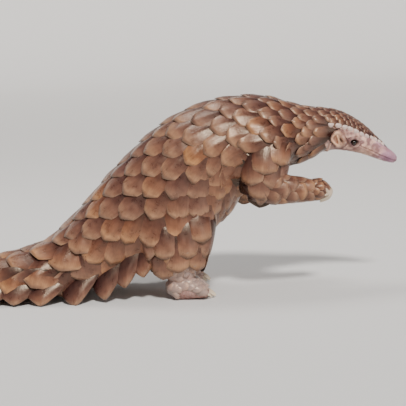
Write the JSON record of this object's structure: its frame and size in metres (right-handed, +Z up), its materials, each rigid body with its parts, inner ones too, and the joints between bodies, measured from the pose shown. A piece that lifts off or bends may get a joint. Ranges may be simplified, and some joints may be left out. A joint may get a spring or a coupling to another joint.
{
  "type": "pangolin model",
  "caption": "Still, life-size pangolin standing on its hind feet and tail, forelegs held off the floor, body and long tail covered in overlapping horn scutes.",
  "frame": {"origin": "on the floor, under the middle of the whole animal, snout to tail tip and side to side", "axes": "+X towards the snout, +Y to the animal's left, +Z up"},
  "size_m": [0.8242, 0.1962, 0.3026],
  "materials": {
    "horn": "glossy horn scutes",
    "skin": "matte wrinkled skin",
    "claw": "pale satin horn",
    "eye": "wet gloss"
  },
  "bodies": {
    "root": {"tail_tip": "horn", "tail_middle": "horn", "tail_root": "horn", "rump": "horn", "back": "horn", "chest": "horn", "neck": "horn", "head": "horn", "upper_arm_right": "horn", "forearm_right": "horn", "hand_right": "skin", "hand_claw_right_1": "claw", "hand_claw_right_2": "claw", "hand_claw_right_3": "claw", "hand_claw_right_4": "claw", "hand_claw_right_5": "claw", "thigh_right": "horn", "shank_right": "horn", "foot_right": "skin", "foot_claw_right_1": "claw", "foot_claw_right_2": "claw", "foot_claw_right_3": "claw", "foot_claw_right_4": "claw", "foot_claw_right_5": "claw", "eye_right": "eye", "ear_right": "skin", "upper_arm_left": "horn", "forearm_left": "horn", "hand_left": "skin", "hand_claw_left_1": "claw", "hand_claw_left_2": "claw", "hand_claw_left_3": "claw", "hand_claw_left_4": "claw", "hand_claw_left_5": "claw", "thigh_left": "horn", "shank_left": "horn", "foot_left": "skin", "foot_claw_left_1": "claw", "foot_claw_left_2": "claw", "foot_claw_left_3": "claw", "foot_claw_left_4": "claw", "foot_claw_left_5": "claw", "eye_left": "eye", "ear_left": "skin"}
  },
  "joints": []
}
